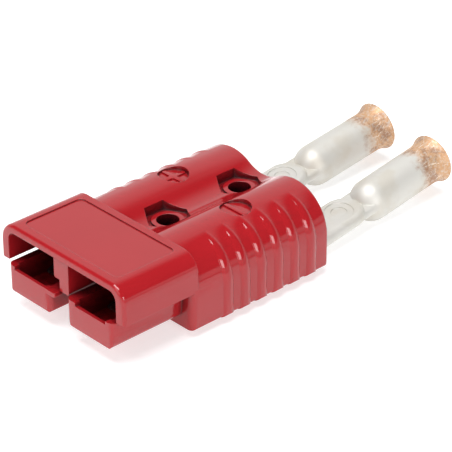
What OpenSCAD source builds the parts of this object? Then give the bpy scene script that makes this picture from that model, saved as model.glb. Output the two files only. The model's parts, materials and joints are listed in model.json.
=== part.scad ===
// Genderless two-pole power connector: one moulded housing, a leaf spring in the
// tray of each pole, and two contacts that lie loose behind the housing.
//
// Frame: origin midway between the two mounting holes, on the flat underside.
// +X runs to the cable end, +Y to the positive pole, +Z up. Millimetres.
//
// A mate is this same part turned over about Y. Inside the hood everything that
// lies above the parting plane at mate_z clears what lies below it, so that the
// tongues of each part fill the hood cavity of the other.

/* [Housing] */
// Length from the front lip of the hood to the cable end
body_l = 79.4; // [74:0.2:90]
// Width across the two barrels, without the grip ribs
body_w = 55; // [53:0.2:60]
// Height of the barrel crests and of the hood roof
body_h = 24.3; // [23.6:0.1:28]
// Height of the parting plane between this part and its mate
mate_z = 12.1; // [11.6:0.1:12.8]
// Radius of each barrel arch
arch_r = 13.9; // [13.2:0.1:14.4]
// Depth of the valley between the barrels, below their crests
valley_depth = 3.9; // [3.2:0.1:4.4]
// Radius of the upright front corners of the barrel block
corner_r = 2.4; // [1:0.1:4]
// Radius along the bottom edges of the barrel block
edge_r = 1.1; // [0.4:0.1:1.6]

/* [Hood] */
// Reach of the hood cavity, from the lip to the barrel block
hood_depth = 25.1; // [23:0.1:30]
// How far the hood laps over the barrel block behind the cavity
hood_lap = 2.5; // [1:0.1:4]
// Inset of the hood sides from the sides of the barrel block
hood_inset = 0.3; // [0.1:0.05:0.8]
// Thickness of the hood side walls
hood_wall = 3.5; // [2.8:0.1:4]
// Thickness of the hood roof
roof_t = 2.4; // [1.8:0.1:2.8]
// Radius along the top edges of the hood
hood_r = 6; // [3:0.1:7]
// Radius of the rounded front lip
front_r = 1.2; // [0.4:0.1:1.6]
// Radius in the top corners of the hood cavity
cavity_r = 2.8; // [1:0.1:4]
// Depth of the shallow panel sunk in the roof
panel_depth = 0.35; // [0.2:0.05:0.8]

/* [Tongues] */
// How far the tongues reach out past the hood lip
tongue_reach = 1; // [0:0.1:2]
// Height of the tongue underside above the base
tongue_lift = 2.8; // [2.5:0.1:4]
// Clearance between the outer side of a tongue and the mate's hood wall
side_clear = 0.45; // [0.3:0.05:0.8]
// Inner side of the positive tongue, from the middle plane
inner_pos = 4.7; // [4.4:0.1:5.2]
// How far the outer side of a tongue draws in from its rim to its foot
outer_draft = 0.8; // [0:0.1:1.2]
// How far the inner side of the negative tongue draws in
inner_draft = 1.2; // [0:0.1:1.6]
// Radius along the lower edges of a tongue
under_r = 2.6; // [1:0.1:3]
// Radius along the lower inner edge of the positive tongue
under_key_r = 1; // [0.6:0.1:2]
// Radius of the upright front corners of a tongue
tongue_r = 2; // [1:0.1:3]
// Gap between a tongue rim and the parting plane
rim_gap = 0.3; // [0.2:0.05:0.6]
// Thickness of the tray floor
tray_floor = 1.4; // [1:0.1:1.8]
// Thickness of the wall at the front of a tray
tray_front = 2; // [1.4:0.1:2.6]
// Width of the notch for the mate's contact in the front wall
notch_w = 13.2; // [12:0.1:14]
// Depth of that notch, and of the low inner rim beside the key
notch_depth = 1.1; // [0.4:0.1:1.4]

/* [Divider] */
// Side of the divider that faces the negative pole
divider_neg = 2.5; // [2:0.1:2.8]
// Side of the divider's narrow foot that faces the positive pole
divider_pos = 1.6; // [1:0.1:1.9]
// Width of the step that keys the divider to its mate
key_step = 2.3; // [1.6:0.1:2.6]
// Height of the key step above the parting plane
key_z = 2.9; // [2.4:0.1:3.6]
// How far the front half of the divider reaches below the parting plane
nib_drop = 0.8; // [0.2:0.1:1]
// Clearance between the keyed faces of two mated parts
key_clear = 0.4; // [0.3:0.05:0.6]

/* [Mounting] */
// Diameter of the two mounting holes
hole_d = 6.9; // [5:0.1:7.2]
// Distance between the mounting holes
hole_spacing = 28.6; // [27:0.1:30]
// Distance from the cable end to the rear mounting hole
hole_back = 10.4; // [9.6:0.1:12]
// Width across the flats of the hexagonal nut pockets
nut_af = 12.6; // [11:0.1:13]
// Depth of the pocket floor below the bottom of the valley
nut_depth = 1.4; // [1:0.05:2]
// Diameter of the raised seat around each hole
seat_d = 10; // [8.6:0.1:10.6]
// Height of the raised seat above the pocket floor
seat_h = 0.6; // [0.2:0.05:0.8]

/* [Cable end] */
// Diameter of each round cable bore
bore_d = 17.6; // [17:0.1:18.4]
// Length of each cable bore, from the cable end
bore_l = 44; // [40:0.5:48]
// Width of the lead-in chamfer at the mouth of a bore
bore_lead = 0.8; // [0.4:0.1:1.2]

/* [Grip and marks] */
// Number of grip ribs on each side
rib_count = 6; // [3:1:7]
// Distance between ribs
rib_pitch = 6.65; // [5:0.05:6.8]
// Width of a rib where it leaves the side
rib_w = 4; // [2:0.1:4.6]
// How far a rib stands out of the side
rib_proud = 0.8; // [0.4:0.05:1]
// Radius that rounds a rib off at its foot
rib_foot_r = 1.5; // [0.5:0.1:3]
// Diameter of the round polarity recesses on the crests
mark_d = 9.5; // [8:0.1:11]
// Depth of the polarity recesses
mark_depth = 1.5; // [0.8:0.1:2]

/* [Contacts] */
// Length of a contact from its tip to the mouth of its bell
contact_l = 60.5; // [57:0.1:64]
// Outside diameter of the contact barrel
barrel_d = 13.4; // [12:0.1:14]
// Length of the barrel, from the mouth of the bell to where its nose starts
barrel_l = 28.4; // [24:0.2:31]
// Bore of the contact barrel for the stripped cable
wire_d = 10.4; // [8:0.1:10.8]
// Depth of the bore for the stripped cable
wire_l = 27; // [20:0.5:30]
// Outside diameter at the mouth of the bell
bell_d = 16; // [15:0.1:16.6]
// Wall of the bell at its mouth
bell_wall = 1.1; // [0.8:0.1:1.4]
// Length of the flare of the bell
bell_l = 4.8; // [3.5:0.1:6]
// Width of the flat blade
blade_w = 14; // [12:0.1:14.2]
// Thickness of the flat blade
blade_t = 4.1; // [3:0.1:4.6]
// Length of the blade, from the tip to the middle of its round end
blade_l = 19.6; // [17:0.1:24]
// Width of the web between the blade and the barrel
web_w = 12.4; // [10:0.1:13]
// Thickness of that web
web_t = 3.1; // [2:0.1:3.6]
// Distance of the wiping face from the axis of the barrel
wipe_drop = 0.7; // [0.4:0.1:1.2]
// Radius of the curl at the tip, measured on the wiping face
tip_r = 7; // [5.2:0.1:9]
// Angle of the curl at the tip
tip_turn = 38; // [15:1:50]
// Gap between the negative contact and the cable end
contact_gap = 0.6; // [0.3:0.1:2]
// How much further back the positive contact lies
contact_stagger = 3.2; // [0:0.1:6]
// Angle by which the negative contact lies askew
askew = 1.4; // [0:0.1:3]

/* [Springs] */
// Thickness of the leaf springs
spring_t = 0.8; // [0.5:0.05:1]
// Width of the leaf springs
spring_w = 11; // [8:0.2:12.6]
// Rise of a spring from its foot to its nose
spring_rise = 2.4; // [1.6:0.1:3.6]

/* [Hidden] */
$fn = 96;
eps = 0.01;
cut = 1;                                     // overrun of the cutting solids

// Poles: +1 is the positive pole at +Y, -1 the negative pole at -Y
POLES = [1, -1];
half_w = body_w / 2;
pole_y = half_w - arch_r;
arch_z = body_h - arch_r;

// Stations along X
rear_x = hole_spacing / 2 + hole_back;
front_x = rear_x - body_l;
block_x = front_x + hood_depth;              // front face of the barrel block
hood_end_x = block_x + hood_lap;
bore_end_x = rear_x - bore_l;
tongue_front = front_x - tongue_reach;

// Valley fillet between the arches: one arc tangent to both
valley_z = body_h - valley_depth;
valley_run = valley_z - arch_z;
valley_r = (pow(pole_y, 2) + pow(valley_run, 2) - pow(arch_r, 2)) / (2 * (arch_r - valley_run));
valley_cz = valley_z + valley_r;
valley_angle = asin(pole_y / (arch_r + valley_r));

// Hood
hood_half = half_w - hood_inset;
cavity_half = hood_half - hood_wall;
cavity_z = body_h - roof_t;
hood_foot_z = mate_z + rim_gap;
foot_corner_r = 1.3;                         // lower rear corner of the side walls
panel_side = hood_r + 0.45;                  // border of the sunk panel, at the sides
panel_front = front_x + 3.4;
panel_rear = hood_end_x - 2.5;
panel_r = 2;

// Tongues, each side as its distance from the middle plane at the rim and at the foot
rim_z = mate_z - rim_gap;
tongue_outer = cavity_half - side_clear;
inner_neg = divider_neg + key_clear;
OUTER = [tongue_outer, tongue_outer - outer_draft];
INNER_NEG = [inner_neg, inner_neg + inner_draft];
INNER_POS = [inner_pos, inner_pos];
tongue_toe_r = 0.8;                          // lower front edge
tray_w = blade_w + 0.6;
tray_z = tongue_lift + tray_floor;
tray_r = 1;
slot_z = mate_z + 0.8;                       // roof of the blade slot
notch_z = rim_z - notch_depth;
notch_fall = 0.8;                            // slope of the notch towards the tray
lip_z = mate_z - key_z;                      // underside of the keyed lip
lip_y = divider_pos + key_clear;
lip_edge_r = 0.5;

// Divider: its deeper half ends where the mate's deeper half begins
half_x = front_x + (hood_depth - tongue_reach) / 2 - key_clear;
divider_r = 0.8;

// Cable bores
bore_z = mate_z - 0.2;

// Grip ribs: a round section sunk into the side and swept up over the arch
rib_r = (pow(rib_w / 2, 2) + pow(rib_proud, 2)) / (2 * rib_proud);
rib_y = half_w + rib_proud - rib_r;
rib_sweep = arch_r - rib_r - 0.25;
rib_mid = 0.9;

// Contact, drawn on the axis of its barrel with the mouth of the bell at x = 0
bell_r = bell_d / 2;
barrel_r = barrel_d / 2;
wire_r = wire_d / 2;
mouth_r = bell_r - bell_wall;
pad_x = blade_l - contact_l;                 // middle of the blade's round end
tip_x = tip_r * sin(tip_turn) - contact_l;   // where the tip starts to curl
coin_x = pad_x - 1.6;
COINS = [[4.6, 0.22], [2.5, 0.4]];           // radius and depth of the coined steps

// A contact lies on the curl of its wiping face and on the rim of its bell
lie_rise = tip_r - wipe_drop + bell_r;
lie_angle = atan(-lie_rise / tip_x) - asin(tip_r / norm([tip_x, lie_rise]));
lie_shift = 0.8;                             // both lie a little to the positive side

// Leaf spring stations
spring_rear = bore_end_x - 1;
spring_bend = block_x - 1;
spring_nose = tongue_front + tray_front + 9;
nose_l = 3;
nose_drop = 0.6;

// ---------------------------------------------------------------- helpers

// Extrudes a (y, z) outline along X from x0 to x1
module along_x(x0, x1) {
    translate([x0, 0, 0]) rotate([90, 0, 90]) linear_extrude(x1 - x0) children();
}

// Extrudes an (x, z) outline along Y, w wide about the plane y = y0
module along_y(y0, w) {
    translate([0, y0 + w / 2, 0]) rotate([90, 0, 0]) linear_extrude(w) children();
}

// Bends a round bar about an axis along X at (y, z), from +Y towards +Z
module bend_x(at, major, minor, from, angle) {
    translate(at) rotate([90, 0, 90]) rotate([0, 0, from])
        rotate_extrude(angle = angle) translate([major, 0]) circle(minor);
}

// Draws the children once as they are and once mirrored to the other pole
module both_poles() {
    children();
    mirror([0, 1, 0]) children();
}

// Rectangle from p to q with its own radius at each corner:
// r = [low left, low right, high right, high left]
module soft_rect(p, q, r) {
    corners = [[p[0], p[1]], [q[0], p[1]], [q[0], q[1]], [p[0], q[1]]];
    inward = [[1, 1], [-1, 1], [-1, -1], [1, -1]];
    difference() {
        translate(p) square(q - p);
        for (i = [0:3]) if (r[i] > 0)
            translate(corners[i]) scale(inward[i]) difference() {
                translate([-cut, -cut]) square(r[i] + cut);
                translate([r[i], r[i]]) circle(r[i]);
            }
    }
}

// ---------------------------------------------------------------- housing

// Section of the barrel block: two arches, the valley fillet between them and a
// flat base with rounded edges
module block_section() {
    soft_rect([-half_w, 0], [half_w, arch_z], [edge_r, edge_r, 0, 0]);
    for (s = POLES) translate([s * pole_y, arch_z]) circle(arch_r);
    difference() {
        half = valley_r * sin(valley_angle);
        translate([-half, 0]) square([2 * half, valley_cz - valley_r * cos(valley_angle)]);
        translate([0, valley_cz]) circle(valley_r);
    }
}

module barrel_block() {
    intersection() {
        along_x(block_x, rear_x) block_section();
        linear_extrude(body_h + cut)
            soft_rect([block_x, -half_w], [rear_x, half_w], [corner_r, 0, 0, corner_r]);
    }
}

// Grip ribs: round bars up the sides that sink into the arches near the crests
module grip_ribs() {
    first = rib_mid - rib_pitch * (rib_count - 1) / 2;
    intersection() {
        both_poles() for (i = [0:rib_count - 1]) translate([first + i * rib_pitch, 0, 0]) {
            translate([0, rib_y, 0]) cylinder(r = rib_r, h = arch_z);
            bend_x([0, rib_y - rib_sweep, arch_z], rib_sweep, rib_r, 0, 90);
        }
        along_x(block_x, rear_x) soft_rect([-half_w - rib_proud, 0], [half_w + rib_proud, body_h],
                                           [rib_foot_r, rib_foot_r, 0, 0]);
    }
}

module hood_section(inset) {
    soft_rect([-hood_half + inset, hood_foot_z], [hood_half - inset, body_h - inset],
              [0, 0, hood_r - inset, hood_r - inset]);
}

// The hood: an open channel with a rounded front lip
module hood() {
    x = front_x + front_r;
    difference() {
        union() {
            along_x(x, hood_end_x) hood_section(0);
            along_x(front_x, x + eps) hood_section(front_r);
            both_poles() {
                translate([x, hood_half - front_r, hood_foot_z])
                    cylinder(r = front_r, h = body_h - hood_r - hood_foot_z);
                bend_x([x, hood_half - hood_r, body_h - hood_r], hood_r - front_r, front_r, 0, 90);
            }
            along_y(0, 2 * (hood_half - hood_r)) translate([x, body_h - front_r]) circle(front_r);
        }
        along_x(front_x - cut, block_x)
            soft_rect([-cavity_half, hood_foot_z - cut], [cavity_half, cavity_z],
                      [0, 0, cavity_r, cavity_r]);
        along_y(0, body_w + cut) difference() {
            translate([hood_end_x - foot_corner_r, hood_foot_z - cut]) square(foot_corner_r + cut);
            translate([hood_end_x - foot_corner_r, hood_foot_z + foot_corner_r]) circle(foot_corner_r);
            translate([hood_end_x - foot_corner_r - cut, hood_foot_z + foot_corner_r])
                square(foot_corner_r + 2 * cut);
        }
        translate([0, 0, body_h - panel_depth]) linear_extrude(cut)
            soft_rect([panel_front, panel_side - hood_half], [panel_rear, hood_half - panel_side],
                      [panel_r, panel_r, panel_r, panel_r]);
    }
}

// The divider hangs from the roof. Its step keys it to the lip on the mate's
// positive tongue, and only its front half reaches below the parting plane.
module divider() {
    for (part = [[half_x, mate_z - nib_drop, divider_pos],
                 [block_x + eps, mate_z + nib_drop + key_clear, divider_pos],
                 [block_x + eps, mate_z + key_z, divider_pos + key_step]])
        along_x(front_x + front_r / 2, part[0])
            soft_rect([-divider_neg, part[1]], [part[2], cavity_z + eps], [divider_r, divider_r, 0, 0]);
}

// Lean of a tongue side, outward per unit of height; s = 1 outer side, -1 inner
function lean(side, s) = s * (side[0] - side[1]) / (rim_z - tongue_lift);
// Middle of the arc of radius r that rounds the foot of that side
function turn_y(side, s, r) = side[1] - s * r * (sqrt(1 + pow(lean(side, s), 2)) - lean(side, s));
// A point just inside that arc, where it meets the side
function turn_end(side, s, r) = let (k = lean(side, s), n = (r - eps) / sqrt(1 + k * k))
    [turn_y(side, s, r) + s * n, tongue_lift + r - n * k];

// Section of a tongue: leaning sides, a flat underside and rounded lower edges
module tongue_section(inner, inner_r) {
    polygon([[inner[0], rim_z], turn_end(inner, -1, inner_r),
             [turn_y(inner, -1, inner_r), tongue_lift], [turn_y(OUTER, 1, under_r), tongue_lift],
             turn_end(OUTER, 1, under_r), [OUTER[0], rim_z]]);
    translate([turn_y(inner, -1, inner_r), tongue_lift + inner_r]) circle(inner_r);
    translate([turn_y(OUTER, 1, under_r), tongue_lift + under_r]) circle(under_r);
}

// Extrudes a section into a tongue whose front end is rounded, with r on the inner side
module tongue_bar(inner_y, r) {
    intersection() {
        along_x(tongue_front, block_x + eps) children();
        linear_extrude(body_h)
            soft_rect([tongue_front, inner_y], [block_x + cut, tongue_outer], [r, 0, 0, tongue_r]);
        along_y(half_w / 2, body_w)
            soft_rect([tongue_front, tongue_lift], [block_x + cut, rim_z], [tongue_toe_r, 0, 0, 0]);
    }
}

// The positive tongue has a low inner rim with a lip that keys to the mate's divider
module tongues() {
    difference() {
        tongue_bar(inner_pos, tongue_r) tongue_section(INNER_POS, under_key_r);
        along_x(tongue_front - cut, block_x)
            polygon([[0, notch_z], [pole_y - notch_w / 2, notch_z], [pole_y - notch_w / 2, body_h],
                     [0, body_h]]);
    }
    tongue_bar(lip_y, lip_edge_r)
        soft_rect([lip_y, lip_z], [inner_pos + tongue_r, notch_z], [lip_edge_r, 0, 0, 0.3]);
    mirror([0, 1, 0]) tongue_bar(inner_neg, tongue_r) tongue_section(INNER_NEG, under_r);
}

// Tray in the tongue, blade slot into the block and round cable bore
module pole_cavity() {
    low = pole_y - tray_w / 2;
    high = pole_y + tray_w / 2;
    tray_end = tongue_front + tray_front;
    along_x(tray_end, block_x + eps) soft_rect([low, tray_z], [high, slot_z], [tray_r, tray_r, 0, 0]);
    along_x(block_x - eps, bore_end_x + cut)
        soft_rect([low, tray_z], [high, slot_z], [tray_r, tray_r, tray_r, tray_r]);
    along_y(pole_y, notch_w)
        polygon([[tongue_front - cut, slot_z], [tongue_front - cut, notch_z],
                 [tongue_front + tray_front / 2, notch_z], [tray_end + eps, notch_z - notch_fall],
                 [tray_end + eps, slot_z]]);
    translate([bore_end_x, pole_y, bore_z]) rotate([0, 90, 0]) cylinder(d = bore_d, h = bore_l + cut);
    translate([rear_x - bore_lead, pole_y, bore_z]) rotate([0, 90, 0])
        cylinder(d1 = bore_d, d2 = bore_d + 2 * (bore_lead + eps), h = bore_lead + eps);
}

// Mounting hole with a raised seat in its hexagonal nut pocket
module mounting_hole() {
    translate([0, 0, -cut]) cylinder(d = hole_d, h = body_h);
    difference() {
        translate([0, 0, valley_z - nut_depth]) cylinder(d = nut_af / cos(30), h = body_h, $fn = 6);
        translate([0, 0, valley_z - nut_depth - cut]) cylinder(d = seat_d, h = seat_h + cut);
    }
}

module housing() {
    color("firebrick") difference() {
        union() {
            barrel_block();
            grip_ribs();
            hood();
            divider();
            tongues();
        }
        both_poles() {
            pole_cavity();
            translate([0, pole_y, body_h - mark_depth]) cylinder(d = mark_d, h = mark_depth + cut);
        }
        for (s = [1, -1]) translate([s * hole_spacing / 2, 0, 0]) mounting_hole();
    }
}

// ---------------------------------------------------------------- springs

// Height of a leaf spring's underside above the tray floor: flat at the foot,
// an S-shaped rise, and a nose that turns down
function leaf_z(x) =
    x > spring_bend ? 0
    : x > spring_nose + nose_l
        ? spring_rise * (1 - cos(180 * (spring_bend - x) / (spring_bend - spring_nose - nose_l))) / 2
        : spring_rise - nose_drop * pow((spring_nose + nose_l - x) / nose_l, 2);

module spring(s) {
    steps = 24;
    stations = [for (i = [0:steps]) spring_bend + (spring_nose - spring_bend) * i / steps];
    color("silver") translate([0, 0, tray_z]) along_y(s * pole_y, spring_w)
        polygon(concat([[spring_rear, 0]], [for (x = stations) [x, leaf_z(x)]],
                       [for (i = [steps:-1:0]) [stations[i], leaf_z(stations[i]) + spring_t]],
                       [[spring_rear, spring_t]]));
}

// ---------------------------------------------------------------- contacts

// Half section of a tube end that flares from radius r at -bell_l to radius end at 0
module flare(r, end) {
    arc = (pow(bell_l, 2) + pow(end - r, 2)) / (2 * (end - r));
    difference() {
        translate([0, -bell_l]) square([end, bell_l]);
        translate([r + arc, -bell_l]) circle(arc);
    }
}

// Half section of the barrel: belled mouth, straight wall and round nose
module barrel_profile() {
    difference() {
        union() {
            flare(barrel_r, bell_r);
            translate([0, -barrel_l]) square([barrel_r, barrel_l]);
            intersection() {
                translate([0, -barrel_l]) circle(barrel_r);
                translate([0, -barrel_l - barrel_r]) square(barrel_r);
            }
        }
        flare(wire_r, mouth_r);
        translate([0, -wire_l]) square([wire_r, wire_l + cut]);
    }
}

// Section of a flat strip with round sides, standing on the wiping face
module strip_section(w, t) {
    translate([-(w - t) / 2, -wipe_drop]) square([w - t, t]);
    for (s = [1, -1]) translate([s * (w - t) / 2, t / 2 - wipe_drop]) circle(t / 2, $fn = 32);
}

// Round end of the blade, towards the barrel
module blade_end() {
    translate([pad_x, 0, 0]) rotate([0, 0, -90]) rotate_extrude(angle = 180) intersection() {
        strip_section(blade_w, blade_t);
        translate([0, -cut]) square([blade_w, blade_t + cut]);
    }
}

// Tip of the blade, curled upward about an axis along Y
module blade_tip() {
    translate([tip_x, 0, tip_r - wipe_drop]) mirror([1, 0, 0]) rotate([90, 0, 0]) rotate([0, 0, -90])
        rotate_extrude(angle = tip_turn) translate([tip_r, 0]) rotate(90)
            translate([0, wipe_drop]) strip_section(blade_w, blade_t);
}

module contact() {
    rotate([0, 90, 0]) rotate_extrude() barrel_profile();
    along_x(pad_x, -barrel_l) strip_section(web_w, web_t);
    difference() {
        union() {
            blade_tip();
            along_x(tip_x, pad_x) strip_section(blade_w, blade_t);
            blade_end();
        }
        for (step = COINS) translate([coin_x, 0, blade_t - wipe_drop - step[1]])
            cylinder(r = step[0], h = cut);
    }
}

module laid_contact(s) {
    back = contact_gap + (s > 0 ? contact_stagger : 0);
    color("gainsboro")
        translate([rear_x + back + contact_l * cos(lie_angle), s * pole_y + lie_shift,
                   bell_r * cos(lie_angle)])
            rotate([0, -lie_angle, s < 0 ? askew : 0]) contact();
}

// ---------------------------------------------------------------- assembly

housing();
spring(1);  // spring_positive
spring(-1);  // spring_negative
laid_contact(1);  // contact_positive
laid_contact(-1);  // contact_negative
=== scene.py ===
"""Looks of a genderless two-pole power connector with its two loose contacts.

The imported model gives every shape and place. This script rounds the rim of the
cable end, adds the two polarity signs, and finishes the glossy red moulding, the
plated contacts and the leaf springs under soft studio light.
"""

import json
import logging
import math
from dataclasses import dataclass
from enum import Enum

import bmesh
import bpy
from mathutils import Euler, Matrix, Vector


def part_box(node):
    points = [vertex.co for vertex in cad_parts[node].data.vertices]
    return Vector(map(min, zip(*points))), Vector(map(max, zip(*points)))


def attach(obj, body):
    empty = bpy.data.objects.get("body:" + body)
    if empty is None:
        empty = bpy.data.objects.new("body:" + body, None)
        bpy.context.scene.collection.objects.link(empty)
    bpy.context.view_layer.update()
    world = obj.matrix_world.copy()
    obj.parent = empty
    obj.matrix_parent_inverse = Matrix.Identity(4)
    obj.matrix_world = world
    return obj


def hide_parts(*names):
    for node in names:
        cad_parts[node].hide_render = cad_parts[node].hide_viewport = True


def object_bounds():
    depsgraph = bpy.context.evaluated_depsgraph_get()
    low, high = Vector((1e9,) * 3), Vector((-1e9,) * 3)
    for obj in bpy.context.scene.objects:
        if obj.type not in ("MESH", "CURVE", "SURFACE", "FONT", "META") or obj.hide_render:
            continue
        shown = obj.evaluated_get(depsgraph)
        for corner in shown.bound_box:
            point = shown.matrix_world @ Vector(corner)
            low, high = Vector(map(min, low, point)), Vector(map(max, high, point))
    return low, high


logging.basicConfig(level=logging.INFO, format="%(message)s")
log = logging.getLogger("connector")

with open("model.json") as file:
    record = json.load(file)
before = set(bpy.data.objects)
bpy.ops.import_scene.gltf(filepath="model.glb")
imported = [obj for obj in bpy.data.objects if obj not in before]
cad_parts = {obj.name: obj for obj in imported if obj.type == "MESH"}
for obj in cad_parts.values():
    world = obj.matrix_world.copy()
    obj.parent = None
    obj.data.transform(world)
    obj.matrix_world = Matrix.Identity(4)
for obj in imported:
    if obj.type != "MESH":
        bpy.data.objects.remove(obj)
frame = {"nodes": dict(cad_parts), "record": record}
CAD_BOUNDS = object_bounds()

MM = 0.001
# Vertices closer than this are one
MERGE_DISTANCE = 0.002 * MM
# Edges that turn by more than this, in degrees, stay sharp
SHARP_TURN = 32.0
# Where a Mix node keeps its two colour inputs and its colour output
COLOUR_INPUTS = (6, 7)
COLOUR_OUTPUT = 2

Triple = tuple[float, float, float]


class Pole(Enum):
    """The two poles, valued by the side of the middle plane they lie on."""

    POSITIVE = 1
    NEGATIVE = -1

    @property
    def node_end(self) -> str:
        """The ending that this pole's node names carry."""
        return self.name.lower()


# ------------------------------------------------------------------ meshes


def copied(node: str, name: str) -> bpy.types.Object:
    """Copies a CAD node's mesh into a new piece with its doubles merged.

    Args:
        node: Name of the CAD node.
        name: Name of the new piece.

    Returns:
        The new object, linked to the scene and standing at the origin.
    """
    mesh = frame["nodes"][node].data.copy()
    mesh.name = name
    mesh.materials.clear()
    work = bmesh.new()
    work.from_mesh(mesh)
    bmesh.ops.remove_doubles(work, verts=work.verts[:], dist=MERGE_DISTANCE)
    bmesh.ops.dissolve_degenerate(work, edges=work.edges[:], dist=MERGE_DISTANCE)
    work.to_mesh(mesh)
    work.free()
    piece = bpy.data.objects.new(name, mesh)
    bpy.context.scene.collection.objects.link(piece)
    return piece


def smooth(piece: bpy.types.Object, angle: float = SHARP_TURN) -> None:
    """Shades a piece smooth, with its edges sharper than an angle kept.

    Args:
        piece: Object to shade.
        angle: Angle in degrees above which an edge stays sharp.
    """
    mesh = piece.data
    work = bmesh.new()
    work.from_mesh(mesh)
    limit = math.radians(angle)
    for edge in work.edges:
        turn = edge.calc_face_angle(0.0) if len(edge.link_faces) == 2 else 0.0
        edge.smooth = turn < limit
    for face in work.faces:
        face.smooth = True
    work.to_mesh(mesh)
    work.free()


def meshed(work: bmesh.types.BMesh, name: str) -> bpy.types.Object:
    """Turns a bmesh into a linked object at the origin.

    Args:
        work: The bmesh, which is freed.
        name: Name of the new object.

    Returns:
        The new object.
    """
    mesh = bpy.data.meshes.new(name)
    work.to_mesh(mesh)
    work.free()
    piece = bpy.data.objects.new(name, mesh)
    bpy.context.scene.collection.objects.link(piece)
    return piece


# --------------------------------------------------------------- materials


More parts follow.
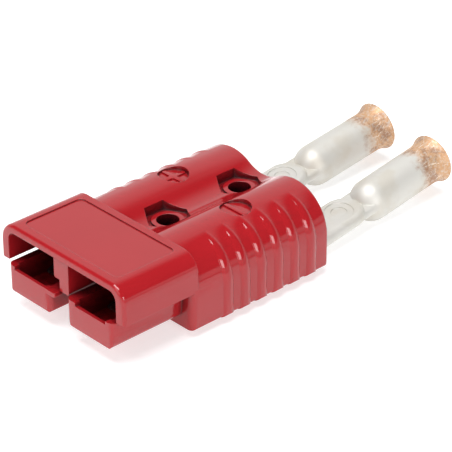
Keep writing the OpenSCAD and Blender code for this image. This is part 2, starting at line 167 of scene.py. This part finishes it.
class NodeGraph:
    """A small helper that adds and joins nodes in one node tree."""

    OPEN_AIR_SAMPLES = 6

    def __init__(self, tree: bpy.types.NodeTree) -> None:
        """Keeps the tree to work in.

        Args:
            tree: Node tree of a material or a group.
        """
        self.tree = tree

    def add(self, kind: str, **settings: object) -> bpy.types.Node:
        """Adds a node and sets its properties.

        Args:
            kind: Type name of the node.
            settings: Properties to set on it.

        Returns:
            The new node.
        """
        node = self.tree.nodes.new(kind)
        for key, value in settings.items():
            setattr(node, key, value)
        return node

    def join(self, start: bpy.types.NodeSocket, end: bpy.types.NodeSocket) -> None:
        """Links one socket to another."""
        self.tree.links.new(start, end)

    def place(self) -> bpy.types.NodeSocket:
        """Adds the coordinates of the piece itself, in metres."""
        return self.add("ShaderNodeTexCoord").outputs["Object"]

    def rounded(self, radius: float, samples: int) -> bpy.types.NodeSocket:
        """Adds a normal that makes edges look rounded.

        Args:
            radius: Radius of the rounding, in metres.
            samples: Number of samples of each edge.

        Returns:
            The rounded normal.
        """
        node = self.add("ShaderNodeBevel", samples=samples)
        node.inputs["Radius"].default_value = radius
        return node.outputs["Normal"]

    def noise(
        self, vector: bpy.types.NodeSocket, scale: float, detail: float = 4.0, rough: float = 0.55
    ) -> bpy.types.NodeSocket:
        """Adds a noise pattern.

        Args:
            vector: Coordinates to read, in metres.
            scale: Cycles per metre.
            detail: Number of finer layers.
            rough: Strength of the finer layers.

        Returns:
            The pattern's value socket.
        """
        node = self.add("ShaderNodeTexNoise")
        node.inputs["Scale"].default_value = scale
        node.inputs["Detail"].default_value = detail
        node.inputs["Roughness"].default_value = rough
        self.join(vector, node.inputs["Vector"])
        return node.outputs["Fac"]

    def stretched(self, vector: bpy.types.NodeSocket, scale: Triple) -> bpy.types.NodeSocket:
        """Stretches coordinates.

        Args:
            vector: Coordinates to read.
            scale: Factor along each axis.

        Returns:
            The stretched coordinates.
        """
        node = self.add("ShaderNodeMapping")
        node.inputs["Scale"].default_value = scale
        self.join(vector, node.inputs["Vector"])
        return node.outputs["Vector"]

    def span(
        self,
        value: bpy.types.NodeSocket,
        low: float,
        high: float,
        out_low: float = 0.0,
        out_high: float = 1.0,
    ) -> bpy.types.NodeSocket:
        """Maps a span of values onto another, smoothly and clamped.

        Args:
            value: Value to map.
            low: Start of the span.
            high: End of the span.
            out_low: Result at the start.
            out_high: Result at the end.

        Returns:
            The mapped value.
        """
        node = self.add("ShaderNodeMapRange", interpolation_type="SMOOTHSTEP")
        for name, number in (
            ("From Min", low),
            ("From Max", high),
            ("To Min", out_low),
            ("To Max", out_high),
        ):
            node.inputs[name].default_value = number
        self.join(value, node.inputs["Value"])
        return node.outputs["Result"]

    def math(
        self, operation: str, first: bpy.types.NodeSocket, second: bpy.types.NodeSocket | float
    ) -> bpy.types.NodeSocket:
        """Adds a Math node.

        Args:
            operation: Blender's name of the operation.
            first: First value.
            second: Second value, a socket or a number.

        Returns:
            The result's socket.
        """
        node = self.add("ShaderNodeMath", operation=operation)
        self.join(first, node.inputs[0])
        if isinstance(second, (int, float)):
            node.inputs[1].default_value = second
        else:
            self.join(second, node.inputs[1])
        return node.outputs[0]

    def open_air(self, reach: float, low: float, high: float) -> bpy.types.NodeSocket:
        """Makes a mask of how open a place is.

        Args:
            reach: How far off a wall still counts, in metres.
            low: Openness at which the mask is 0.
            high: Openness at which the mask is 1.

        Returns:
            The mask, 0 in a cavity or crease and 1 in the open.
        """
        node = self.add(
            "ShaderNodeAmbientOcclusion", samples=self.OPEN_AIR_SAMPLES, only_local=True
        )
        node.inputs["Distance"].default_value = reach
        return self.span(node.outputs["AO"], low, high)

    def blend(
        self,
        mask: bpy.types.NodeSocket,
        first: bpy.types.NodeSocket | Triple,
        second: bpy.types.NodeSocket | Triple,
    ) -> bpy.types.NodeSocket:
        """Mixes two colours by a mask.

        Args:
            mask: 0 gives the first colour and 1 the second.
            first: Colour or socket.
            second: Colour or socket.

        Returns:
            The mixed colour.
        """
        node = self.add("ShaderNodeMix", data_type="RGBA")
        self.join(mask, node.inputs["Factor"])
        for index, colour in zip(COLOUR_INPUTS, (first, second)):
            if isinstance(colour, tuple):
                node.inputs[index].default_value = (*colour, 1.0)
            else:
                self.join(colour, node.inputs[index])
        return node.outputs[COLOUR_OUTPUT]

    def bump(
        self,
        height: bpy.types.NodeSocket,
        strength: float,
        distance: float,
        normal: bpy.types.NodeSocket | None = None,
    ) -> bpy.types.NodeSocket:
        """Adds a bump.

        Args:
            height: Height pattern.
            strength: Share of the bump that counts.
            distance: Height of the bump in metres.
            normal: Normal to start from.

        Returns:
            The bumped normal.
        """
        node = self.add("ShaderNodeBump")
        node.inputs["Strength"].default_value = strength
        node.inputs["Distance"].default_value = distance
        self.join(height, node.inputs["Height"])
        if normal is not None:
            self.join(normal, node.inputs["Normal"])
        return node.outputs["Normal"]


class SurfaceFlow:
    """Shader node group: the soft waviness and fine scuffs of a handled surface."""

    NAME = "surface_flow"
    WAVE_DETAIL = 2.0
    SCUFF_DETAIL = 6.0
    SCUFF_ROUGHNESS = 0.65
    SCUFF_STRETCH = (0.35, 1.0, 1.0)
    SCUFF_SPAN = (0.5, 0.72)

    @classmethod
    def tree(cls) -> bpy.types.NodeTree:
        """Builds the group once and returns it.

        Returns:
            The group's node tree.
        """
        found = bpy.data.node_groups.get(cls.NAME)
        if found is not None:
            return found
        tree = bpy.data.node_groups.new(cls.NAME, "ShaderNodeTree")
        for name in ("Wave Scale", "Scuff Scale"):
            tree.interface.new_socket(name, in_out="INPUT", socket_type="NodeSocketFloat")
        for name in ("Wave", "Scuff"):
            tree.interface.new_socket(name, in_out="OUTPUT", socket_type="NodeSocketFloat")
        graph = NodeGraph(tree)
        source = graph.add("NodeGroupInput")
        sink = graph.add("NodeGroupOutput")
        place = graph.place()
        wave = graph.add("ShaderNodeTexNoise")
        wave.inputs["Detail"].default_value = cls.WAVE_DETAIL
        graph.join(place, wave.inputs["Vector"])
        graph.join(source.outputs["Wave Scale"], wave.inputs["Scale"])
        scuff = graph.add("ShaderNodeTexNoise")
        scuff.inputs["Detail"].default_value = cls.SCUFF_DETAIL
        scuff.inputs["Roughness"].default_value = cls.SCUFF_ROUGHNESS
        graph.join(graph.stretched(place, cls.SCUFF_STRETCH), scuff.inputs["Vector"])
        graph.join(source.outputs["Scuff Scale"], scuff.inputs["Scale"])
        graph.join(wave.outputs["Fac"], sink.inputs["Wave"])
        graph.join(graph.span(scuff.outputs["Fac"], *cls.SCUFF_SPAN), sink.inputs["Scuff"])
        return tree

    @classmethod
    def placed(cls, graph: NodeGraph, wave: float, scuff: float) -> bpy.types.Node:
        """Places the group in a material.

        Args:
            graph: The material's graph.
            wave: Scale of the waviness, in cycles per metre.
            scuff: Scale of the scuffs, in cycles per metre.

        Returns:
            The group's node.
        """
        node = graph.add("ShaderNodeGroup", node_tree=cls.tree())
        node.inputs["Wave Scale"].default_value = wave
        node.inputs["Scuff Scale"].default_value = scuff
        return node


def new_material(name: str) -> tuple[bpy.types.Material, NodeGraph, bpy.types.Node]:
    """Makes an empty node material with a Principled shader.

    Args:
        name: Name of the material.

    Returns:
        The material, its graph and its Principled shader.
    """
    material = bpy.data.materials.new(name)
    material.use_nodes = True
    material.node_tree.nodes.clear()
    graph = NodeGraph(material.node_tree)
    shader = graph.add("ShaderNodeBsdfPrincipled")
    output = graph.add("ShaderNodeOutputMaterial")
    graph.join(shader.outputs["BSDF"], output.inputs["Surface"])
    return material, graph, shader


@dataclass(frozen=True)
class MouldedRed:
    """Glossy red moulding compound with a faint moulding flow.

    cavity and crease each hold a reach and the openness at which a place counts
    as closed and as open. Closed places get painted shade in the base colour.
    A bump holds its strength and its height.
    """

    deep: Triple = (0.320, 0.0092, 0.0130)
    light: Triple = (0.360, 0.0112, 0.0160)
    # Painted shade: near-black colour standing in for the shade deep in the trays and hood
    inside: Triple = (0.014, 0.0030, 0.0045)
    # Painted shade: darker red standing in for the shade at rib feet and pocket corners
    groove: Triple = (0.180, 0.0058, 0.0085)
    # Reach and openness bounds of the mask for the painted cavity shade
    cavity: Triple = (18 * MM, 0.26, 0.58)
    # Reach and openness bounds of the mask for the painted crease shade and rougher creases
    crease: Triple = (1.6 * MM, 0.42, 0.82)
    roughness: float = 0.075
    groove_roughness: float = 0.50
    scuff_roughness: float = 0.03
    wave_scale: float = 70.0
    scuff_scale: float = 900.0
    skin_scale: float = 2600.0
    skin_detail: float = 2.0
    wave_bump: tuple[float, float] = (0.12, 0.12 * MM)
    skin_bump: tuple[float, float] = (0.03, 0.01 * MM)
    ior: float = 1.52
    specular: float = 0.5
    edge: float = 0.28 * MM
    edge_samples: int = 6

    def material(self, name: str = "housing_red") -> bpy.types.Material:
        """Builds the material.

        Args:
            name: Name of the material.

        Returns:
            The material.
        """
        material, graph, shader = new_material(name)
        flow = SurfaceFlow.placed(graph, self.wave_scale, self.scuff_scale)
        skin_red = graph.blend(flow.outputs["Wave"], self.deep, self.light)
        open_skin = graph.open_air(*self.crease)
        # Painted shade: creases darken towards the painted crease shade colour
        crease_shaded = graph.blend(open_skin, self.groove, skin_red)
        # Painted shade: deep cavities darken towards near black, in place of their shade
        shaded = graph.blend(graph.open_air(*self.cavity), self.inside, crease_shaded)
        graph.join(shaded, shader.inputs["Base Color"])
        scuffed = graph.math("MULTIPLY", flow.outputs["Scuff"], self.scuff_roughness)
        dulled = graph.span(open_skin, 0.0, 1.0, self.groove_roughness, self.roughness)
        graph.join(graph.math("ADD", scuffed, dulled), shader.inputs["Roughness"])
        skin = graph.noise(graph.place(), self.skin_scale, self.skin_detail)
        edges = graph.rounded(self.edge, self.edge_samples)
        soft = graph.bump(flow.outputs["Wave"], *self.wave_bump, edges)
        graph.join(graph.bump(skin, *self.skin_bump, soft), shader.inputs["Normal"])
        shader.inputs["IOR"].default_value = self.ior
        shader.inputs["Specular IOR Level"].default_value = self.specular
        return material


@dataclass(frozen=True)
class SilverPlate:
    """Milky silver plate that turns copper brown and scratched near the bell.

    blotch, speckle, cloud and scratch are patterns. Each holds its scale, its
    detail and, where it has one, the strength of the finer layers. A span holds
    the values between which a pattern fades in, and a bump its strength and height.
    """

    silver: Triple = (0.625, 0.610, 0.570)
    warm: Triple = (0.590, 0.560, 0.500)
    copper: Triple = (0.580, 0.300, 0.125)
    brown: Triple = (0.340, 0.150, 0.060)
    scratched: Triple = (0.900, 0.820, 0.700)
    metallic: float = 0.40
    roughness: float = 0.44
    blotch_roughness: float = 0.18
    blotch: Triple = (240.0, 6.0, 0.68)
    speckle: Triple = (1300.0, 5.0, 0.70)
    cloud: tuple[float, float] = (110.0, 3.0)
    scratch: Triple = (1.0, 3.0, 0.8)
    scratch_stretch: Triple = (300.0, 1900.0, 800.0)
    cloud_span: tuple[float, float] = (0.42, 0.66)
    brown_span: tuple[float, float] = (0.46, 0.60)
    scratch_span: tuple[float, float] = (0.60, 0.66)
    speckle_span: tuple[float, float] = (0.34, 0.56)
    tint_strength: float = 0.88
    scratch_strength: float = 0.85
    speckle_floor: float = 0.45
    fray: float = 14 * MM
    tint_start: float = -12.0 * MM
    tint_full: float = -6.5 * MM
    blotch_bump: tuple[float, float] = (0.35, 0.10 * MM)
    speckle_bump: tuple[float, float] = (0.25, 0.015 * MM)
    edge: float = 0.30 * MM
    edge_samples: int = 4

    def material(self, name: str, bell: Vector, axis: Vector) -> bpy.types.Material:
        """Builds the material for one contact.

        Args:
            name: Name of the material.
            bell: Centre of the bell's mouth.
            axis: Direction of the barrel, out of the bell.

        Returns:
            The material.
        """
        material, graph, shader = new_material(name)
        place = graph.place()
        blotch = graph.noise(place, *self.blotch)
        speckle = graph.noise(place, *self.speckle)
        band = self.tint(graph, place, blotch, speckle, bell, axis)
        cloud = graph.span(graph.noise(place, *self.cloud), *self.cloud_span)
        plate = graph.blend(cloud, self.silver, self.warm)
        worn = graph.blend(graph.span(blotch, *self.brown_span), self.copper, self.brown)
        base = graph.blend(graph.math("MULTIPLY", band, self.tint_strength), plate, worn)
        line = graph.noise(graph.stretched(place, self.scratch_stretch), *self.scratch)
        scratchable = graph.math("MULTIPLY", band, self.scratch_strength)
        bare = graph.math("MULTIPLY", graph.span(line, *self.scratch_span), scratchable)
        graph.join(graph.blend(bare, base, self.scratched), shader.inputs["Base Color"])
        shader.inputs["Metallic"].default_value = self.metallic
        uneven = graph.math("MULTIPLY", blotch, self.blotch_roughness)
        graph.join(graph.math("ADD", uneven, self.roughness), shader.inputs["Roughness"])
        edges = graph.rounded(self.edge, self.edge_samples)
        soft = graph.bump(blotch, *self.blotch_bump, edges)
        graph.join(graph.bump(speckle, *self.speckle_bump, soft), shader.inputs["Normal"])
        return material

    def tint(
        self,
        graph: NodeGraph,
        place: bpy.types.NodeSocket,
        blotch: bpy.types.NodeSocket,
        speckle: bpy.types.NodeSocket,
        bell: Vector,
        axis: Vector,
    ) -> bpy.types.NodeSocket:
        """Makes the ragged mask of the copper tint around the bell.

        Args:
            graph: The material's graph.
            place: Object coordinates.
            blotch: Large pattern that frays the edge of the tint.
            speckle: Small pattern that breaks it up.
            bell: Centre of the bell's mouth.
            axis: Direction of the barrel, out of the bell.

        Returns:
            The mask, 1 where the tint is full.
        """
        shifted = graph.add("ShaderNodeVectorMath", operation="SUBTRACT")
        graph.join(place, shifted.inputs[0])
        shifted.inputs[1].default_value = bell
        along = graph.add("ShaderNodeVectorMath", operation="DOT_PRODUCT")
        graph.join(shifted.outputs["Vector"], along.inputs[0])
        along.inputs[1].default_value = axis
        frayed = graph.math("MULTIPLY", graph.math("SUBTRACT", blotch, 0.5), self.fray)
        reach = graph.math("ADD", along.outputs["Value"], frayed)
        full = graph.span(reach, self.tint_start, self.tint_full)
        low, high = self.speckle_span
        broken = graph.math(
            "ADD",
            graph.math("MULTIPLY", graph.span(speckle, low, high), 1.0 - self.speckle_floor),
            self.speckle_floor,
        )
        return graph.math("MULTIPLY", full, broken)


@dataclass(frozen=True)
class SpringSteel:
    """Dark rolled stainless strip with fine lines along its length."""

    dark: Triple = (0.12, 0.115, 0.11)
    pale: Triple = (0.20, 0.195, 0.19)
    line_stretch: Triple = (60.0, 4200.0, 900.0)
    line: tuple[float, float] = (1.0, 3.0)
    line_span: tuple[float, float] = (0.3, 0.7)
    roughness: tuple[float, float] = (0.22, 0.36)
    line_bump: tuple[float, float] = (0.2, 0.01 * MM)

    def material(self, name: str = "spring_steel") -> bpy.types.Material:
        """Builds the material.

        Args:
            name: Name of the material.

        Returns:
            The material.
        """
        material, graph, shader = new_material(name)
        lines = graph.noise(graph.stretched(graph.place(), self.line_stretch), *self.line)
        graph.join(graph.blend(lines, self.dark, self.pale), shader.inputs["Base Color"])
        shader.inputs["Metallic"].default_value = 1.0
        rough = graph.span(lines, *self.line_span, *self.roughness)
        graph.join(rough, shader.inputs["Roughness"])
        graph.join(graph.bump(lines, *self.line_bump), shader.inputs["Normal"])
        return material


# ------------------------------------------------------------ sub-assemblies


@dataclass
class Housing:
    """The moulded housing with its two polarity signs.

    flat_turn and corner_turn are angles in degrees: faces that turn by less than
    the first are one plane, and edges that turn by more than the second are corners.
    """

    pole_y: float = 13.6 * MM
    bore_z: float = 11.9 * MM
    bore_reach: float = 9.9 * MM
    rim: float = 1.1 * MM
    rim_segments: int = 5
    rim_flatness: float = 0.01 * MM
    flat_turn: float = 0.05
    corner_turn: float = 30.0
    mark_depth: float = 1.5 * MM
    sign_l: float = 8.8 * MM
    sign_w: float = 1.6 * MM
    sign_h: float = 0.5 * MM
    sign_sunk: float = 0.05 * MM
    sign_edge: float = 0.15 * MM
    sign_segments: int = 2
    sign_cells: int = 3
    finish: MouldedRed = MouldedRed()

    def build(self) -> list[bpy.types.Object]:
        """Builds the housing and its signs.

        Returns:
            The new pieces.
        """
        body = copied("housing", "moulded_housing")
        self.round_cable_end(body)
        smooth(body)
        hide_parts("housing")
        return [body, *(self.sign(pole) for pole in Pole)]

    def round_cable_end(self, body: bpy.types.Object) -> None:
        """Rounds the outer rim of the cable end, which is moulded soft.

        Args:
            body: The housing.
        """
        work = bmesh.new()
        work.from_mesh(body.data)
        bmesh.ops.dissolve_limit(
            work,
            angle_limit=math.radians(self.flat_turn),
            use_dissolve_boundaries=False,
            verts=work.verts[:],
            edges=work.edges[:],
        )
        rear = max(vert.co.x for vert in work.verts)
        rim = [edge for edge in work.edges if self.on_rim(edge, rear)]
        bmesh.ops.bevel(
            work,
            geom=rim,
            offset=self.rim,
            segments=self.rim_segments,
            profile=0.5,
            affect="EDGES",
            material=-1,
        )
        work.to_mesh(body.data)
        work.free()

    def on_rim(self, edge: bmesh.types.BMEdge, rear: float) -> bool:
        """Tells whether an edge lies on the outer rim of the cable end.

        Args:
            edge: Edge of the housing.
            rear: Plane of the cable end.

        Returns:
            True on the outer rim, and False at the mouths of the bores.
        """
        if any(abs(vert.co.x - rear) > self.rim_flatness for vert in edge.verts):
            return False
        if len(edge.link_faces) != 2 or not self.is_corner(edge):
            return False
        middle = (edge.verts[0].co + edge.verts[1].co) / 2
        return math.hypot(abs(middle.y) - self.pole_y, middle.z - self.bore_z) > self.bore_reach

    def is_corner(self, edge: bmesh.types.BMEdge) -> bool:
        """Tells whether the faces at an edge turn enough to make a corner."""
        return edge.calc_face_angle(0.0) >= math.radians(self.corner_turn)

    def sign(self, pole: Pole) -> bpy.types.Object:
        """Makes the raised plus or minus on the floor of a polarity recess.

        Args:
            pole: Pole whose sign is made.

        Returns:
            The sign.
        """
        work = bmesh.new()
        bmesh.ops.create_grid(
            work, x_segments=self.sign_cells, y_segments=self.sign_cells, size=1.0
        )
        across = (-self.sign_l / 2, -self.sign_w / 2, self.sign_w / 2, self.sign_l / 2)
        for vert in work.verts:
            vert.co.x = across[round((vert.co.x + 1.0) / 2 * self.sign_cells)]
            vert.co.y = across[round((vert.co.y + 1.0) / 2 * self.sign_cells)]
        left_out = [face for face in work.faces if not self.on_sign(face, pole)]
        bmesh.ops.delete(work, geom=left_out, context="FACES")
        made = bmesh.ops.extrude_face_region(work, geom=work.faces[:])
        raised = [each for each in made["geom"] if isinstance(each, bmesh.types.BMVert)]
        bmesh.ops.translate(work, vec=(0.0, 0.0, self.sign_h + self.sign_sunk), verts=raised)
        bmesh.ops.recalc_face_normals(work, faces=work.faces[:])
        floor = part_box("housing")[1][2] - self.mark_depth - self.sign_sunk
        bmesh.ops.translate(work, vec=(0.0, pole.value * self.pole_y, floor), verts=work.verts[:])
        bmesh.ops.bevel(
            work,
            geom=[edge for edge in work.edges if self.is_corner(edge)],
            offset=self.sign_edge,
            segments=self.sign_segments,
            profile=0.5,
            affect="EDGES",
            material=-1,
        )
        piece = meshed(work, f"sign_{pole.node_end}")
        smooth(piece)
        return piece

    def on_sign(self, face: bmesh.types.BMFace, pole: Pole) -> bool:
        """Tells whether a face of the sign's grid belongs to the sign.

        Args:
            face: Face of the grid.
            pole: Pole whose sign is made.

        Returns:
            True on the bar across, and on the bar along for a plus.
        """
        middle = face.calc_center_median()
        bar = abs(middle.x) < self.sign_w / 2
        return bar or (pole is Pole.POSITIVE and abs(middle.y) < self.sign_w / 2)

    def dress(self, pieces: list[bpy.types.Object]) -> None:
        """Gives the pieces their finish.

        Args:
            pieces: The housing's pieces.
        """
        material = self.finish.material()
        for piece in pieces:
            piece.data.materials.append(material)
            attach(piece, "root")
            log.info("housing piece %s: %d faces", piece.name, len(piece.data.polygons))


@dataclass
class Contact:
    """One formed and plated contact."""

    pole: Pole
    sharp_turn: float = 40.0
    finish: SilverPlate = SilverPlate()

    def build(self) -> bpy.types.Object:
        """Builds the contact from its CAD node.

        Returns:
            The new piece.
        """
        node = f"contact_{self.pole.node_end}"
        piece = copied(node, f"plated_contact_{self.pole.node_end}")
        smooth(piece, self.sharp_turn)
        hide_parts(node)
        return piece

    def bell(self) -> tuple[Vector, Vector]:
        """Finds the bell from the mount of the wire socket.

        Returns:
            The centre of the bell's mouth, and the direction out of it.
        """
        name = f"wire_socket_{self.pole.node_end}"
        mount = next(each for each in frame["record"]["mounts"] if each["name"] == name)
        axis = Vector(mount["axis"])
        middle = Vector(mount["pos_m"])
        reach = max((corner - middle).dot(axis) for corner in self.corners())
        return middle + axis * reach, axis

    def corners(self) -> list[Vector]:
        """Lists the vertices of the contact's CAD node."""
        node = frame["nodes"][f"contact_{self.pole.node_end}"]
        return [each.co.copy() for each in node.data.vertices]

    def dress(self, piece: bpy.types.Object) -> None:
        """Gives the contact its finish.

        Args:
            piece: The contact.
        """
        bell, axis = self.bell()
        name = f"silver_plate_{self.pole.node_end}"
        piece.data.materials.append(self.finish.material(name, bell, axis))
        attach(piece, "root")
        log.info("contact piece %s: %d faces", piece.name, len(piece.data.polygons))


@dataclass
class Springs:
    """The two leaf springs in the trays."""

    finish: SpringSteel = SpringSteel()

    def dress(self) -> None:
        """Gives the CAD springs their finish."""
        material = self.finish.material()
        for pole in Pole:
            node = frame["nodes"][f"spring_{pole.node_end}"]
            node.data.materials.clear()
            node.data.materials.append(material)
            log.info("spring %s dressed", pole.node_end)


# ------------------------------------------------------------------- studio


@dataclass(frozen=True)
class SoftBox:
    """A soft rectangular lamp that faces the part, in metres and watts."""

    name: str
    place: Triple
    size: tuple[float, float]
    power: float
    target: Triple = (0.0, 0.0, 0.01)

    def hang(self) -> None:
        """Adds the lamp to the scene."""
        data = bpy.data.lights.new(self.name, "AREA")
        data.shape = "RECTANGLE"
        data.size, data.size_y = self.size
        data.energy = self.power
        lamp = bpy.data.objects.new(self.name, data)
        bpy.context.scene.collection.objects.link(lamp)
        lamp.location = self.place
        aim = Vector(self.target) - Vector(self.place)
        lamp.rotation_euler = aim.to_track_quat("-Z", "Y").to_euler()


@dataclass
class Studio:
    """Pale floor, soft lamps and the camera.

    The camera stands at eye. Azimuth, elevation and roll are in degrees, and the
    first two point from the part to the camera. backdrop is the direction of the
    white backdrop. The other pairs around the sky are where each part fades.
    """

    eye: Triple = (-0.41449, -0.45742, 0.37000)
    azimuth: float = -132.77918
    elevation: float = 30.12960
    roll: float = -0.15571
    sensor: float = 36.0
    lens: float = 191.668
    clip: tuple[float, float] = (0.01, 20.0)
    backdrop: Triple = (0.68, 0.73, 0.0)
    backdrop_edge: tuple[float, float] = (0.35, 0.75)
    band_foot: tuple[float, float] = (0.015, 0.04)
    band_top: tuple[float, float] = (0.19, 0.22)
    white: float = 0.80
    dim: float = 0.08
    floor_size: float = 3.0
    paper: tuple[Triple, Triple] = ((0.56, 0.56, 0.56), (0.58, 0.58, 0.58))
    paper_scale: float = 6.0
    paper_roughness: float = 0.7
    paper_specular: float = 0.1
    paper_glow: float = 0.62
    lamps: tuple[SoftBox, ...] = (
        SoftBox("overhead_box", (-0.25, 0.0, 1.15), (0.8, 0.7), 16.0),
        SoftBox("front_box", (-1.3, -0.05, 0.85), (0.9, 0.7), 5.0),
        SoftBox("side_box", (-0.35, -1.4, 0.6), (0.8, 0.5), 8.5),
    )

    def floor(self) -> None:
        """Lays the pale floor under the lowest point of the part."""
        work = bmesh.new()
        bmesh.ops.create_grid(work, x_segments=1, y_segments=1, size=self.floor_size)
        bmesh.ops.translate(work, vec=(0.0, 0.0, CAD_BOUNDS[0][2]), verts=work.verts[:])
        floor = meshed(work, "floor")
        material, graph, shader = new_material("floor_paper")
        tone = graph.blend(graph.noise(graph.place(), self.paper_scale), *self.paper)
        graph.join(tone, shader.inputs["Base Color"])
        shader.inputs["Roughness"].default_value = self.paper_roughness
        shader.inputs["Specular IOR Level"].default_value = self.paper_specular
        shader.inputs["Emission Color"].default_value = (1.0, 1.0, 1.0, 1.0)
        shader.inputs["Emission Strength"].default_value = self.paper_glow
        floor.data.materials.append(material)

    def light(self) -> None:
        """Hangs the soft boxes and sets the sky."""
        for lamp in self.lamps:
            lamp.hang()
        world = bpy.data.worlds.new("studio")
        bpy.context.scene.world = world
        world.use_nodes = True
        world.node_tree.nodes.clear()
        graph = NodeGraph(world.node_tree)
        sky = graph.add("ShaderNodeBackground")
        sky.inputs["Color"].default_value = (1.0, 1.0, 1.0, 1.0)
        graph.join(self.sky_strength(graph), sky.inputs["Strength"])
        graph.join(sky.outputs["Background"], graph.add("ShaderNodeOutputWorld").inputs["Surface"])

    def sky_strength(self, graph: NodeGraph) -> bpy.types.NodeSocket:
        """Makes a dim room with a white backdrop and a low white band all round.

        Args:
            graph: The world's graph.

        Returns:
            The strength of the sky in each direction.
        """
        direction = graph.add("ShaderNodeTexCoord").outputs["Generated"]
        facing = graph.add("ShaderNodeVectorMath", operation="DOT_PRODUCT")
        graph.join(direction, facing.inputs[0])
        facing.inputs[1].default_value = self.backdrop
        backdrop = graph.span(facing.outputs["Value"], *self.backdrop_edge)
        split = graph.add("ShaderNodeSeparateXYZ")
        graph.join(direction, split.inputs["Vector"])
        rise = split.outputs["Z"]
        over_foot = graph.span(rise, *self.band_foot)
        under_top = graph.span(rise, *self.band_top, 1.0, 0.0)
        white = graph.math("MAXIMUM", backdrop, graph.math("MULTIPLY", over_foot, under_top))
        return graph.math("ADD", graph.math("MULTIPLY", white, self.white), self.dim)

    def camera(self) -> None:
        """Sets the camera, which faces the part from its azimuth and elevation."""
        data = bpy.data.cameras.new("camera")
        data.sensor_width = self.sensor
        data.lens = self.lens
        data.clip_start, data.clip_end = self.clip
        camera = bpy.data.objects.new("camera", data)
        bpy.context.scene.collection.objects.link(camera)
        tilt = math.radians(90.0 - self.elevation)
        heading = math.radians(90.0 + self.azimuth)
        turn = Euler((tilt, 0.0, heading)).to_matrix().to_4x4()
        roll = Matrix.Rotation(math.radians(self.roll), 4, "Z")
        camera.matrix_world = Matrix.Translation(self.eye) @ turn @ roll
        bpy.context.scene.camera = camera

    def build(self) -> None:
        """Builds the whole studio."""
        bpy.context.scene.view_settings.view_transform = "Standard"
        self.camera()
        self.floor()
        self.light()
        log.info("studio set")


def main() -> None:
    """Builds and dresses every sub-assembly in order."""
    Studio().build()
    housing = Housing()
    housing.dress(housing.build())
    for pole in Pole:
        contact = Contact(pole)
        contact.dress(contact.build())
    Springs().dress()


if __name__ == "__main__":
    main()
